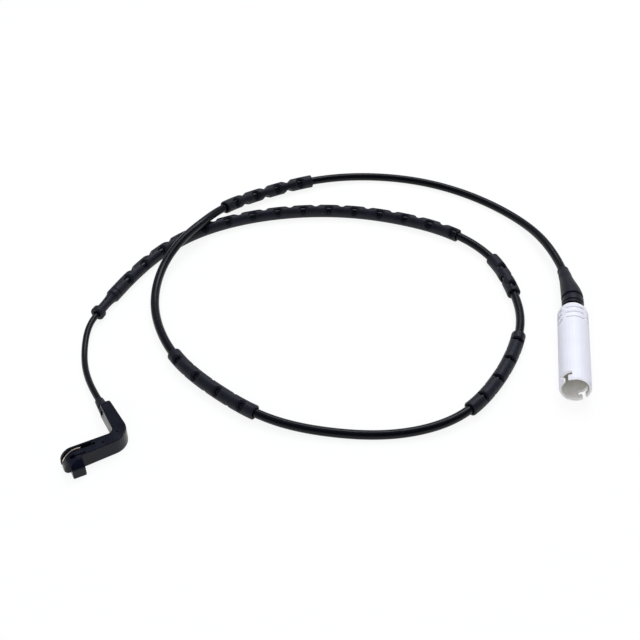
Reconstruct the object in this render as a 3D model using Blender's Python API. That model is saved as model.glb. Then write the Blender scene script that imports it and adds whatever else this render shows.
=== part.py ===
"""Brake pad wear sensor: a moulded sensing head, a sleeved cable and a round bayonet connector.

The head lies flat with its lower arm along X and its upper arm along +Y. The origin is the
middle of the head's box, on the surface that everything lies on. All sizes are in metres.
"""
import math

import bmesh
import bpy
import numpy as np
from mathutils import Matrix, Vector

# Gap left between pieces that touch, and the air under what lies on the surface
FIT = 0.0003
FLOOR_GAP = 0.0001

# Head moulding
HEAD_LENGTH = 0.0318
HEAD_SPAN = 0.0316
HEAD_HEIGHT = 0.0080
HEAD_EDGE = 0.0004
TIP_WIDTH = 0.0076
TIP_DEPTH = 0.0118
TIP_CORNER_RADIUS = 0.0022
LOWER_ARM_WIDTH = 0.0056
UPPER_ARM_WIDTH = 0.0062
UPPER_ARM_TAPER = 0.0021
WALL_LEAN = 0.0009
ELBOW_INNER_RADIUS = 0.0028
ELBOW_OUTER_RADIUS = 0.0085
END_CORNER_RADIUS = 0.0012
TIP_ROUND_LENGTH = 0.0068
TIP_ROUND_HEIGHT = 0.0066

# Wear nose at the tip
NOSE_WIDTH = 0.0060
NOSE_SETBACK = 0.0024
NOSE_CHAMFER = 0.0028

# Fork slot, its leaf spring and the small recesses on the head's top
BACK_CHEEK = 0.0012
SLOT_WIDTH = 0.0021
SLOT_LENGTH = 0.0150
SPRING_THICKNESS = 0.0005
SPRING_FOOT = 0.0018
SPRING_BOW = 0.0010
SPRING_SHOULDER = 0.0098
SPRING_STEP = 0.0030
SPRING_SETBACK = 0.0006
WINDOW_SIZE = 0.0021
WINDOW_DEPTH = 0.0016
GROOVE_LENGTH = 0.0050
GROOVE_WIDTH = 0.0007
DIMPLE_RADIUS = 0.0006
DIMPLE_DEPTH = 0.0004

# Sensing wire and the tunnel it lies in
WIRE_RADIUS = 0.0005
WIRE_PITCH = 0.0017
NOSE_SKIN = 0.0011

# Lead, cable and core wires
LEAD_RADIUS = 0.00155
LEAD_SEAT = 0.0056
LEAD_HEIGHT = 0.0040
CABLE_RADIUS = 0.0022
CORE_RADIUS = 0.0007
BOSS_RADIUS = 0.0025
BOSS_LENGTH = 0.0032
BOSS_PROUD = 0.0004
LEAD_BOOT_LENGTH = 0.0050
LEAD_BOOT_RADIUS = 0.0024
LEAD_BOOT_END_RADIUS = 0.0021

# Rubber sleeves: distances along them, and where each starts along the route
SLEEVE_RADIUS = 0.00355
SLEEVE_BORE_GAP = 0.00045
SADDLE_DEPTH = 0.0016
SADDLE_FLOOR = 0.0015
SADDLE_TOP = 0.0056
SADDLE_PITCH = 0.00727
COLLAR_RADIUS = 0.0036
COLLAR_LENGTH = 0.0028
NECK_RADIUS = 0.0024
NECK_END_RADIUS = 0.0030
NECK_LENGTH = 0.0122
NECK_HOLE = 0.0010
LONG_SLEEVE_LENGTH = 0.2340
SLEEVE_LENGTHS = (0.0584, 0.0568, 0.0584)
SHORT_SLEEVE_LENGTH = 0.0297
LONG_SLEEVE_START = 0.0742
SHORT_SLEEVE_START = 0.3344
SLEEVE_STARTS = (0.3961, 0.5586, 0.7416)

# Connector: shell, boot and what the shell holds, measured along its axis from its back rim
SHELL_LENGTH = 0.0551
SHELL_BACK_RADIUS = 0.0076
SHELL_MOUTH_RADIUS = 0.0075
SHELL_RIM_RADIUS = 0.0064
SHELL_WALL = 0.0012
SHOULDER = 0.0278
GRIP_START = 0.0050
GRIP_PITCH = 0.0035
GRIP_WIDTH = 0.0014
GRIP_DEPTH = 0.0005
GRIP_GAP_ANGLE = 15.0
STEM_LENGTH = 0.0030
STEM_WIDTH = 0.0026
BAR_WIDTH = 0.0023
BAR_ANGLE = 50.0
SLOT_TURN = -45.0
BOOT_LENGTH = 0.0332
BOOT_TAIL = 0.0115
BOOT_RADIUS = 0.0055
BOOT_WAIST = 0.0030
CARRIER_LENGTH = 0.0120
PIN_RADIUS = 0.00075
PIN_PITCH = 0.0046
PIN_LENGTH = 0.0215
SEAL_LENGTH = 0.0056
SEAL_LIP = 0.0006

# Where the connector's back rim lies, and the way its mouth points
CONNECTOR_PLACE = (0.24042, -0.03209)
CONNECTOR_HEADING = (-0.581, -0.814)

ROUND_SIDES = 32
SLEEVE_SIDES = 14
BORE_SIDES = 12


# Places that follow from the sizes above
TIP_X = -HEAD_LENGTH / 2
ELBOW_X = HEAD_LENGTH / 2
NOSE_Y = -HEAD_SPAN / 2
INNER_Y = NOSE_Y + TIP_DEPTH
ELBOW_Y = INNER_Y - LOWER_ARM_WIDTH
INNER_X = ELBOW_X - UPPER_ARM_WIDTH
BOSS_Y = HEAD_SPAN / 2
ARM_END_Y = BOSS_Y - BOSS_PROUD
LEAD_X = INNER_X + LEAD_RADIUS - 0.0002
SLOT_Y = INNER_Y - BACK_CHEEK - SLOT_WIDTH / 2
SLOT_END_X = TIP_X + SLOT_LENGTH
SLEEVE_BORE = CABLE_RADIUS + SLEEVE_BORE_GAP
LEAD_BORE = LEAD_RADIUS + FIT
NECK_END = COLLAR_LENGTH + NECK_LENGTH
SHELL_BORE = BOOT_RADIUS + FIT
SOCKET_RADIUS = SHELL_MOUTH_RADIUS - SHELL_WALL
CARRIER_START = SHOULDER + FIT
CARRIER_RADIUS = SHELL_BACK_RADIUS - SHELL_WALL - FIT


def clear_scene():
    for obj in list(bpy.data.objects):
        bpy.data.objects.remove(obj, do_unlink=True)


def make_material(name, colour, roughness, metallic=0.0):
    material = bpy.data.materials.new(name)
    material.use_nodes = True
    shader = material.node_tree.nodes["Principled BSDF"]
    shader.inputs["Base Color"].default_value = (*colour, 1.0)
    shader.inputs["Roughness"].default_value = roughness
    shader.inputs["Metallic"].default_value = metallic
    material.diffuse_color = (*colour, 1.0)
    return material


def add_object(name, mesh, material=None, smooth=True):
    """Put a finished mesh into the scene, its faces outward and its round sides smooth."""
    bm = bmesh.new()
    bm.from_mesh(mesh)
    bmesh.ops.recalc_face_normals(bm, faces=bm.faces)
    bm.to_mesh(mesh)
    bm.free()
    obj = bpy.data.objects.new(name, mesh)
    bpy.context.scene.collection.objects.link(obj)
    if material:
        mesh.materials.append(material)
    if smooth:
        mesh.shade_smooth()
        mesh.set_sharp_from_angle(angle=math.radians(35))
    return obj


def outward(mesh):
    """Turn a cutter's faces outward, because an inside-out cutter cuts nothing."""
    bm = bmesh.new()
    bm.from_mesh(mesh)
    bmesh.ops.recalc_face_normals(bm, faces=bm.faces)
    bm.to_mesh(mesh)
    bm.free()
    return mesh


def loft(rings, close_ends=True, wrap=False):
    """Skin a stack of equal rings of points; either cap both ends or join the last to the first."""
    rings = np.asarray(rings, float)
    count, sides = rings.shape[:2]
    faces = []
    for row in range(count if wrap else count - 1):
        low, high = row * sides, (row + 1) % count * sides
        for side in range(sides):
            step = (side + 1) % sides
            faces.append((low + side, low + step, high + step, high + side))
    if close_ends and not wrap:
        faces.append(tuple(range(sides))[::-1])
        faces.append(tuple((count - 1) * sides + side for side in range(sides)))
    mesh = bpy.data.meshes.new("loft")
    mesh.from_pydata(rings.reshape(-1, 3).tolist(), [], faces)
    return mesh


def turned(profile, sides, wrap=False):
    """Turn a profile of (radius, height) round Z; wrap joins its two ends, for a ring or tube."""
    angles = np.arange(sides) * 2 * math.pi / sides
    circle = np.column_stack([np.cos(angles), np.sin(angles)])
    rings = [np.column_stack([radius * circle, np.full(sides, height)]) for radius, height in profile]
    return loft(rings, wrap=wrap)


def block(low, high):
    """A box between two corners."""
    (x0, y0, z0), (x1, y1, z1) = low, high
    corners = [(x0, y0), (x1, y0), (x1, y1), (x0, y1)]
    return loft([[(x, y, z) for x, y in corners] for z in (z0, z1)])


def cut(obj, mesh, name, operation="DIFFERENCE"):
    """Cut a mesh out of an object, or join it on, with a live Boolean and a hidden wire cutter."""
    cutter = add_object(name, mesh, smooth=False)
    cutter.hide_render = True
    cutter.display_type = "WIRE"
    cutter.matrix_world = obj.matrix_world
    modifier = obj.modifiers.new(name, "BOOLEAN")
    modifier.operation = operation
    modifier.solver = "EXACT"
    modifier.object = cutter


def joined(meshes):
    """One mesh that holds several separate closed bodies, for cutters that work together."""
    bm = bmesh.new()
    for mesh in meshes:
        bm.from_mesh(mesh)
    whole = bpy.data.meshes.new("joined")
    bm.to_mesh(whole)
    bm.free()
    return whole


def rounded_outline(corners, radii, steps, inset=0.0):
    """Offset each side of a polygon inwards by inset, then round each corner with an arc."""
    corners = [Vector(corner) for corner in corners]
    count = len(corners)
    sides = []
    for index, corner in enumerate(corners):
        along = (corners[(index + 1) % count] - corner).normalized()
        inward = Vector((-along.y, along.x))
        sides.append((corner + inward * inset, along))
    points = []
    for index in range(count):
        (start, before), (after_start, after) = sides[index - 1], sides[index]
        cross = before.x * after.y - before.y * after.x
        gap = after_start - start
        corner = start + before * ((gap.x * after.y - gap.y * after.x) / cross)
        turn = math.atan2(cross, before.dot(after))
        radius = radii[index] - inset if turn > 0 else radii[index] + inset
        reach = radius * abs(math.tan(turn / 2))
        inward = Vector((-before.y, before.x)) * math.copysign(1, turn)
        centre = corner - before * reach + inward * radius
        for step in range(steps[index] + 1):
            swing = turn * step / steps[index]
            spoke = -inward
            points.append(centre + radius * Vector((
                spoke.x * math.cos(swing) - spoke.y * math.sin(swing),
                spoke.x * math.sin(swing) + spoke.y * math.cos(swing))))
    return points


class Route:
    """The cord's centre line: a natural cubic through its points, read by length along it."""

    def __init__(self, points, samples=12000):
        points = np.array(points, float)
        knots = np.r_[0, np.cumsum(np.linalg.norm(np.diff(points, axis=0), axis=1))]
        step = np.diff(knots)
        count = len(points)
        matrix, right = np.eye(count), np.zeros((count, 3))
        for k in range(1, count - 1):
            matrix[k, k - 1:k + 2] = step[k - 1], 2 * (step[k - 1] + step[k]), step[k]
            right[k] = 6 * ((points[k + 1] - points[k]) / step[k] - (points[k] - points[k - 1]) / step[k - 1])
        bend = np.linalg.solve(matrix, right)
        place = np.linspace(0, knots[-1], samples)
        k = np.clip(np.searchsorted(knots, place, side="right") - 1, 0, count - 2)
        ahead, behind, width = (knots[k + 1] - place)[:, None], (place - knots[k])[:, None], step[k][:, None]
        self.line = (bend[k] * ahead ** 3 + bend[k + 1] * behind ** 3) / (6 * width) \
            + (points[k] / width - bend[k] * width / 6) * ahead \
            + (points[k + 1] / width - bend[k + 1] * width / 6) * behind
        self.reach = np.r_[0, np.cumsum(np.linalg.norm(np.diff(self.line, axis=0), axis=1))]
        self.length = self.reach[-1]

    def at(self, distance):
        """The point at a length along the route."""
        return np.stack([np.interp(distance, self.reach, self.line[:, k]) for k in range(3)], axis=-1)

    def frame(self, distance):
        """The point there, the way along it, and the sideways and upward directions square to that."""
        near = 0.0005
        along = self.at(distance + near) - self.at(distance - near)
        along /= np.linalg.norm(along, axis=-1, keepdims=True)
        side = np.cross(along, [0, 0, 1])
        side /= np.linalg.norm(side, axis=-1, keepdims=True)
        return self.at(distance), along, side, np.cross(side, along)

    def bend(self, mesh, start, roll=0.0):
        """Bend a mesh modelled straight along X onto the route, its X = 0 at start."""
        local = np.array([vertex.co for vertex in mesh.vertices])
        centre, _, side, up = self.frame(start + local[:, 0])
        turn = math.radians(roll)
        across = local[:, 1] * math.cos(turn) - local[:, 2] * math.sin(turn)
        height = local[:, 1] * math.sin(turn) + local[:, 2] * math.cos(turn)
        placed = centre + side * across[:, None] + up * height[:, None]
        mesh.vertices.foreach_set("co", placed.ravel())


def cord(name, points, radius, material, resolution=2):
    """A round cord: a poly curve with a round bevel and filled ends."""
    curve = bpy.data.curves.new(name, "CURVE")
    curve.dimensions = "3D"
    curve.bevel_depth = radius
    curve.bevel_resolution = resolution
    curve.use_fill_caps = True
    spline = curve.splines.new("POLY")
    spline.points.add(len(points) - 1)
    for slot, point in zip(spline.points, points):
        slot.co = (*point, 1.0)
    curve.materials.append(material)
    obj = bpy.data.objects.new(name, curve)
    bpy.context.scene.collection.objects.link(obj)
    return obj


def top_at(x):
    """Height of the head's top over x: flat, then a quarter ellipse down to the tip."""
    part = min(max((TIP_X + TIP_ROUND_LENGTH - x) / TIP_ROUND_LENGTH, 0.0), 1.0)
    return HEAD_HEIGHT - TIP_ROUND_HEIGHT * (1 - math.sqrt(1 - part * part))


def arm_mesh():
    """The L-shaped arm: a rounded outline lofted from foot to top, its long edges softened."""
    lean = math.atan2(UPPER_ARM_TAPER, ARM_END_Y - ELBOW_Y)
    corner_x = ELBOW_X + ELBOW_OUTER_RADIUS * (math.tan(math.pi / 4 + lean / 2) - 1)
    top = [(TIP_X, INNER_Y), (TIP_X, INNER_Y - TIP_WIDTH), (corner_x, ELBOW_Y),
           (corner_x - UPPER_ARM_TAPER, ARM_END_Y), (INNER_X, ARM_END_Y), (INNER_X, INNER_Y)]
    foot = top[:4] + [(INNER_X - WALL_LEAN, ARM_END_Y), (INNER_X - WALL_LEAN / 3, INNER_Y)]
    radii = (0.0008, TIP_CORNER_RADIUS, ELBOW_OUTER_RADIUS, END_CORNER_RADIUS, 0.0008, ELBOW_INNER_RADIUS)
    steps = (2, 4, 10, 3, 2, 6)
    soft = HEAD_EDGE * (1 - math.sqrt(0.5))
    levels = ((0, HEAD_EDGE), (soft, soft), (HEAD_EDGE, 0), (HEAD_HEIGHT - HEAD_EDGE, 0),
              (HEAD_HEIGHT - soft, soft), (HEAD_HEIGHT, HEAD_EDGE))
    rings = []
    for height, inset in levels:
        share = height / HEAD_HEIGHT
        corners = [Vector(low) * (1 - share) + Vector(high) * share for low, high in zip(foot, top)]
        rings.append([(p.x, p.y, height) for p in rounded_outline(corners, radii, steps, inset)])
    return loft(rings)


def nose_mesh():
    """The wear nose: a block that stands out of the arm's outer side, its top edge cut back."""
    y0, y1 = NOSE_Y, INNER_Y - BACK_CHEEK - SLOT_WIDTH - 0.0010
    soft = 0.0003
    side = [(y0 + soft, 0), (y0, soft), (y0, HEAD_HEIGHT - NOSE_CHAMFER - soft),
            (y0 + soft, HEAD_HEIGHT - NOSE_CHAMFER + soft), (y0 + NOSE_CHAMFER, HEAD_HEIGHT - soft),
            (y0 + NOSE_CHAMFER + 2 * soft, HEAD_HEIGHT), (y1, HEAD_HEIGHT), (y1, 0)]
    x0 = TIP_X + NOSE_SETBACK
    x1 = x0 + NOSE_WIDTH
    middle = np.mean(side, axis=0)
    rings = []
    for x, shrink in ((x0, soft), (x0 + soft, 0), (x1 - soft, 0), (x1, soft)):
        ring = np.array(side)
        scale = 1 - 2 * shrink / (np.ptp(ring, axis=0))
        ring = middle + (ring - middle) * scale
        rings.append([(x, y, z) for y, z in ring])
    return loft(rings)


def tip_cutter():
    """What is cut off the tip so that its top rounds down in a quarter ellipse."""
    over = 0.001
    arc = [(TIP_X + TIP_ROUND_LENGTH * (1 - math.cos(t)), HEAD_HEIGHT - TIP_ROUND_HEIGHT * (1 - math.sin(t)))
           for t in np.linspace(0.0, math.pi / 2, 9)]
    side = [(TIP_X - over, arc[0][1]), *arc, (arc[-1][0], HEAD_HEIGHT + over), (TIP_X - over, HEAD_HEIGHT + over)]
    return loft([[(x, y, z) for x, z in side] for y in (NOSE_Y - over, INNER_Y + over)])


def slot_cutter():
    """The fork's slot, open at the tip, with a round root and a slit for the spring's foot."""
    over = 0.001
    half = SLOT_WIDTH / 2
    turns = np.linspace(-math.pi / 2, math.pi / 2, 9)
    root = [(SLOT_END_X - half + half * math.cos(t), SLOT_Y + half * math.sin(t)) for t in turns]
    plan = [(TIP_X - over, SLOT_Y - half), *root, (TIP_X - over, SLOT_Y + half)]
    return loft([[(x, y, z) for x, y in plan] for z in (-over, HEAD_HEIGHT + over)])


def spring_line():
    """Plan of the leaf spring, from its foot in the slit to its bowed free end at the tip."""
    seat = SLOT_Y - SLOT_WIDTH / 2 + SPRING_THICKNESS / 2 + FIT
    start, end = SLOT_END_X + SPRING_FOOT - SLOT_WIDTH / 2, TIP_X + SPRING_SETBACK
    points = []
    for share in np.linspace(0, 1, 13):
        x = start + (end - start) * share
        free = max(0.0, (SLOT_END_X - SLOT_WIDTH / 2 - x) / (SLOT_END_X - SLOT_WIDTH / 2 - end))
        points.append((x, seat + SPRING_BOW * math.sin(math.pi * free) ** 2))
    return points


def spring_top(x):
    """Top edge of the spring: it follows the rounded tip, then steps down before its foot."""
    past = (x - TIP_X - SPRING_SHOULDER) / 0.0012
    return top_at(x) - HEAD_EDGE - SPRING_STEP * min(max(past, 0.0), 1.0)


def strip(points, half, low, high):
    """A flat strip on edge along a plan line, between two heights given as functions of x."""
    points = np.array(points)
    along = np.gradient(points, axis=0)
    along /= np.linalg.norm(along, axis=1, keepdims=True)
    square = np.column_stack([-along[:, 1], along[:, 0]]) * half
    rings = []
    for (x, y), (dx, dy) in zip(points, square):
        rings.append([(x + dx, y + dy, low(x)), (x - dx, y - dy, low(x)),
                      (x - dx, y - dy, high(x)), (x + dx, y + dy, high(x))])
    return loft(rings)


def wire_plan():
    """Plan of the sensing wire, from the lead's seat round the elbow into the nose."""
    front = NOSE_Y + NOSE_SKIN + FIT + WIRE_RADIUS
    lane = (SLOT_Y - SLOT_WIDTH / 2 + ELBOW_Y + WALL_LEAN) / 2
    nose_x = TIP_X + NOSE_SETBACK + NOSE_WIDTH / 2
    corners = [(LEAD_X, BOSS_Y - LEAD_SEAT - 0.0006), (LEAD_X + 0.0004, lane), (nose_x, lane), (nose_x, front)]
    reach = (0, 0.0040, 0.0022, 0)
    points = [Vector(corners[0])]
    for index in (1, 2):
        corner = Vector(corners[index])
        before = corner + (Vector(corners[index - 1]) - corner).normalized() * reach[index]
        after = corner + (Vector(corners[index + 1]) - corner).normalized() * reach[index]
        for t in np.linspace(0, 1, 6):
            points.append(before * (1 - t) ** 2 + corner * 2 * t * (1 - t) + after * t ** 2)
    points.append(Vector(corners[3]))
    return [(p.x, p.y) for p in points]


def tunnel_cutter():
    """The tunnel that holds both runs of the sensing wire, one above the other."""
    plan = wire_plan()
    (ax, ay), (bx, by) = plan[0], plan[1]
    start = (ax + (ax - bx) * 0.12, ay + (ay - by) * 0.12)
    (cx, cy), (dx, dy) = plan[-1], plan[-2]
    back = FIT + WIRE_RADIUS
    end = (cx, cy - back)
    half = WIRE_RADIUS + FIT
    low = LEAD_HEIGHT - WIRE_PITCH / 2 - half
    high = LEAD_HEIGHT + WIRE_PITCH / 2 + half
    return strip([start, *plan, end], half, lambda x: low, lambda x: high)


def build_head(plastic, copper, enamel):
    """Moulded head with its fork, nose, recesses and lead boss, its leaf spring and wire loop."""
    over = 0.001
    head = add_object("head_body", arm_mesh(), plastic)
    cut(head, nose_mesh(), "nose_block", "UNION")
    boss = turned([(BOSS_RADIUS - HEAD_EDGE, BOSS_Y), (BOSS_RADIUS, BOSS_Y - HEAD_EDGE),
                   (BOSS_RADIUS, BOSS_Y - BOSS_LENGTH)], 20)
    boss.transform(along_y(LEAD_X, LEAD_HEIGHT))
    cut(head, boss, "lead_boss", "UNION")
    cut(head, tip_cutter(), "tip_rounding")
    cut(head, slot_cutter(), "fork_slot")
    slit = SPRING_THICKNESS / 2 + FIT
    seat = SLOT_Y - SLOT_WIDTH / 2 + SPRING_THICKNESS / 2 + FIT
    cut(head, block((SLOT_END_X - SLOT_WIDTH, seat - slit, -over),
                    (SLOT_END_X + SPRING_FOOT - SLOT_WIDTH / 2 + FIT, seat + slit, HEAD_HEIGHT + over)),
        "spring_slit")
    window_x = TIP_X + NOSE_SETBACK + NOSE_WIDTH / 2 - WINDOW_SIZE / 3
    window_y = SLOT_Y - SLOT_WIDTH / 2 - 0.0026
    half = WINDOW_SIZE / 2
    cut(head, block((window_x - half, window_y - half, HEAD_HEIGHT - WINDOW_DEPTH),
                    (window_x + half, window_y + half, HEAD_HEIGHT + over)), "window")
    groove = GROOVE_WIDTH / 2
    cut(head, block((window_x, window_y - groove, HEAD_HEIGHT - GROOVE_WIDTH),
                    (window_x + half + GROOVE_LENGTH, window_y + groove, HEAD_HEIGHT + over)), "groove")
    dimples = [(INNER_X + 0.0016, INNER_Y - 0.0009), (INNER_X - 0.0063, (INNER_Y + ELBOW_Y) / 2 - 0.0012)]
    for index, (x, y) in enumerate(dimples):
        dimple = turned([(DIMPLE_RADIUS, HEAD_HEIGHT - DIMPLE_DEPTH), (DIMPLE_RADIUS, HEAD_HEIGHT + over)], 10)
        dimple.transform(Matrix.Translation((x, y, 0)))
        cut(head, dimple, f"dimple_{index + 1}")
    bore = turned([(LEAD_BORE, BOSS_Y + over), (LEAD_BORE, BOSS_Y - LEAD_SEAT - FIT)], 12)
    bore.transform(along_y(LEAD_X, LEAD_HEIGHT))
    cut(head, bore, "lead_bore")
    cut(head, tunnel_cutter(), "wire_tunnel")

    add_object("retaining_spring", strip(spring_line(), SPRING_THICKNESS / 2, lambda x: 2 * HEAD_EDGE,
                                         spring_top), copper)

    plan = wire_plan()
    upper = [(x, y, LEAD_HEIGHT + WIRE_PITCH / 2) for x, y in plan]
    lower = [(x, y, LEAD_HEIGHT - WIRE_PITCH / 2) for x, y in plan]
    cord("sensing_wire", upper + lower[::-1], WIRE_RADIUS, enamel, resolution=1)


def along_y(x, z):
    """Turn a piece modelled round Z so that its axis runs along Y at the given x and height."""
    return Matrix(((1, 0, 0, x), (0, 0, 1, 0), (0, -1, 0, z), (0, 0, 0, 1)))


def cord_route():
    """The cord's own points, chosen along the way it lies, between the head and the connector."""
    cable = CABLE_RADIUS + 2.5 * FLOOR_GAP
    lead = LEAD_RADIUS + 2.5 * FLOOR_GAP
    sleeve = SLEEVE_RADIUS + FLOOR_GAP
    over = 2 * SLEEVE_RADIUS + CABLE_RADIUS + 3 * FIT
    hump = over - sleeve
    axis = SHELL_BACK_RADIUS + FLOOR_GAP
    lying = [
        (0.0108, 0.0295, lead + 0.0012), (0.0122, 0.0456, lead), (0.0166, 0.0605, lead),
        (0.0236, 0.0730, lead + 0.0019), (0.0320, 0.0815, sleeve), (0.0441, 0.0913, sleeve),
        (0.0660, 0.1065, sleeve), (0.0947, 0.1181, sleeve), (0.1259, 0.1191, sleeve),
        (0.1562, 0.1115, sleeve), (0.1842, 0.0971, sleeve), (0.2085, 0.0761, sleeve),
        (0.2257, 0.0516, sleeve), (0.2314, 0.0265, sleeve), (0.2275, 0.0030, sleeve),
        (0.2180, -0.0197, sleeve), (0.2027, -0.0372, sleeve), (0.1799, -0.0535, sleeve + 0.0001),
        (0.1534, -0.0634, sleeve), (0.1254, -0.0593, cable), (0.1001, -0.0460, cable),
        (0.0770, -0.0260, sleeve - 0.0001), (0.0624, 0.0007, sleeve), (0.0538, 0.0294, sleeve),
        (0.0538, 0.0557, sleeve - 0.0001), (0.0611, 0.0805, sleeve), (0.0718, 0.0966, sleeve + 0.33 * hump),
        (0.0907, 0.1113, sleeve + 0.9 * hump), (0.1026, 0.1176, over), (0.1183, 0.1269, sleeve + 0.67 * hump),
        (0.1465, 0.1351, sleeve + 0.0005), (0.1806, 0.1336, sleeve), (0.2109, 0.1242, cable),
        (0.2363, 0.1048, cable), (0.2556, 0.0767, cable), (0.2645, 0.0456, cable + 0.0010),
        (0.2616, 0.0156, cable + 0.0041), (0.2583, 0.0028, axis - 0.0010),
        (0.2542, -0.0072, axis - 0.0003), (0.2511, -0.0138, axis)]
    head = [(LEAD_X, BOSS_Y - LEAD_SEAT, LEAD_HEIGHT), (LEAD_X, BOSS_Y, LEAD_HEIGHT)]
    back = Vector((*CONNECTOR_PLACE, axis))
    ahead = Vector((*CONNECTOR_HEADING, 0)).normalized()
    return Route(head + lying + [back - 0.011 * ahead, back + 0.002 * ahead, back + 0.018 * ahead])


def punch(x, angle, level, size, reach, across):
    """A tapered cutter into a sleeve, at x along it and turned round it, from level outwards."""
    high = SLEEVE_RADIUS + 0.0010
    turn = math.radians(angle)
    half = across / 2
    rings = []
    for height, long in ((level, size / 2), (high, reach / 2)):
        plan = [(x - long, -half), (x + long, -half), (x + long, half), (x - long, half)]
        rings.append([(px, py * math.cos(turn) - height * math.sin(turn),
                       py * math.sin(turn) + height * math.cos(turn)) for px, py in plan])
    return outward(loft(rings))


def tube_mesh(outer, inner):
    """A straight tube along X from two lists of (x, radius), outside and then the bore."""
    angles = (np.arange(SLEEVE_SIDES) + 0.5) * 2 * math.pi / SLEEVE_SIDES
    circle = np.column_stack([np.cos(angles), np.sin(angles)])
    rings = [np.column_stack([np.full(SLEEVE_SIDES, x), radius * circle]) for x, radius in outer + inner[::-1]]
    return loft(rings, wrap=True)


def sleeve(name, route, start, outer, inner, cutters, roll, rubber):
    """A rubber sleeve: a straight tube with its windows cut, bent onto the cord's route."""
    straight = add_object(name + "_straight", tube_mesh(outer, inner))
    cut(straight, joined(cutters), name + "_windows")
    seen = straight.evaluated_get(bpy.context.evaluated_depsgraph_get())
    mesh = bpy.data.meshes.new_from_object(seen)
    for modifier in straight.modifiers:
        bpy.data.objects.remove(modifier.object)
    bpy.data.objects.remove(straight)
    bm = bmesh.new()
    bm.from_mesh(mesh)
    bmesh.ops.triangulate(bm, faces=bm.faces)
    bmesh.ops.remove_doubles(bm, verts=bm.verts, dist=0.000002)
    bm.to_mesh(mesh)
    bm.free()
    route.bend(mesh, start, roll)
    add_object(name, mesh, rubber)


def sleeve_rings(first, last, stations):
    """Ring places along a sleeve: its ends, and one midway between each pair of stations."""
    middles = [(a + b) / 2 for a, b in zip(stations, stations[1:])]
    return [first, *middles, last]


def build_cord(route, rubber, jacket):
    """The thin lead, the thick cable and the rubber sleeves on them."""
    boot_start = LEAD_SEAT + FIT
    cone = [(LEAD_BOOT_RADIUS - HEAD_EDGE, 0.0), (LEAD_BOOT_RADIUS, HEAD_EDGE),
            (LEAD_BOOT_END_RADIUS, LEAD_BOOT_LENGTH)]
    outer = [(x, radius) for radius, x in cone]
    boot = tube_mesh(outer, [(0.0, LEAD_BORE), (LEAD_BOOT_LENGTH, LEAD_BORE)])
    route.bend(boot, boot_start)
    add_object("lead_boot", boot, rubber)

    lead_end = LONG_SLEEVE_START + NECK_END + 2 * FIT
    cable_start = lead_end + FIT
    cable_end = route.length - 0.018 + BOOT_TAIL
    cord("lead", route.at(np.linspace(0, lead_end, 15)), LEAD_RADIUS, jacket)
    cord("cable", route.at(np.linspace(cable_start, cable_end, 78)), CABLE_RADIUS, jacket)

    first = NECK_END + 0.0129
    body = list(np.arange(first, LONG_SLEEVE_LENGTH - SADDLE_FLOOR, SADDLE_PITCH))
    step = 0.0006
    groove = NECK_END + 0.0026
    outer = [(0.0, COLLAR_RADIUS - step), (step, COLLAR_RADIUS), (COLLAR_LENGTH, COLLAR_RADIUS),
             (COLLAR_LENGTH + step, NECK_RADIUS), (COLLAR_LENGTH + NECK_LENGTH / 2, NECK_RADIUS),
             (NECK_END - step, NECK_END_RADIUS), (NECK_END, SLEEVE_RADIUS), (groove, SLEEVE_RADIUS),
             (groove + step / 2, SLEEVE_RADIUS - step), (groove + step, SLEEVE_RADIUS)]
    outer += [(x, SLEEVE_RADIUS) for x in sleeve_rings(first - SADDLE_PITCH / 2, LONG_SLEEVE_LENGTH, body)]
    inner = [(0.0, LEAD_BORE), (NECK_END / 2, LEAD_BORE), (NECK_END, LEAD_BORE), (NECK_END + FIT, SLEEVE_BORE)]
    inner += [(x, SLEEVE_BORE) for x in sleeve_rings(first - SADDLE_PITCH / 2, LONG_SLEEVE_LENGTH, body)]
    reach = SADDLE_FLOOR + (SADDLE_TOP - SADDLE_FLOOR) * (SADDLE_DEPTH + 0.0010) / SADDLE_DEPTH
    cutters = [punch(x, 90 * (index % 2), SLEEVE_RADIUS - SADDLE_DEPTH, SADDLE_FLOOR, reach, 3 * SLEEVE_RADIUS)
               for index, x in enumerate(body)]
    hole_x = COLLAR_LENGTH + 0.55 * NECK_LENGTH
    cutters += [punch(hole_x, angle, NECK_RADIUS - NECK_HOLE / 2, NECK_HOLE, NECK_HOLE, NECK_HOLE)
                for angle in (-25, 45)]
    sleeve("long_sleeve", route, LONG_SLEEVE_START, outer, inner, cutters, -34, rubber)

    starts = (SHORT_SLEEVE_START, *SLEEVE_STARTS)
    lengths = (SHORT_SLEEVE_LENGTH, *SLEEVE_LENGTHS)
    shares = (0.69, 0.39, 0.54, 0.48)
    rolls = (10, 31, 54, -48)
    for index, (start, length, share, roll) in enumerate(zip(starts, lengths, shares, rolls)):
        count = round(length / SADDLE_PITCH - 1)
        margin = (length - (count - 1) * SADDLE_PITCH) * share
        stations = [margin + k * SADDLE_PITCH for k in range(count)]
        places = sleeve_rings(0.0, length, stations)
        outer = [(x, SLEEVE_RADIUS) for x in places]
        inner = [(x, SLEEVE_BORE) for x in places]
        cutters = [punch(x, 90 * (row % 2) + turn, SLEEVE_RADIUS - SADDLE_DEPTH, SADDLE_FLOOR, reach,
                         3 * SLEEVE_RADIUS)
                   for row, x in enumerate(stations) for turn in (0, 180)]
        sleeve(f"sleeve_{index + 2}", route, start, outer, inner, cutters, roll, rubber)


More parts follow.
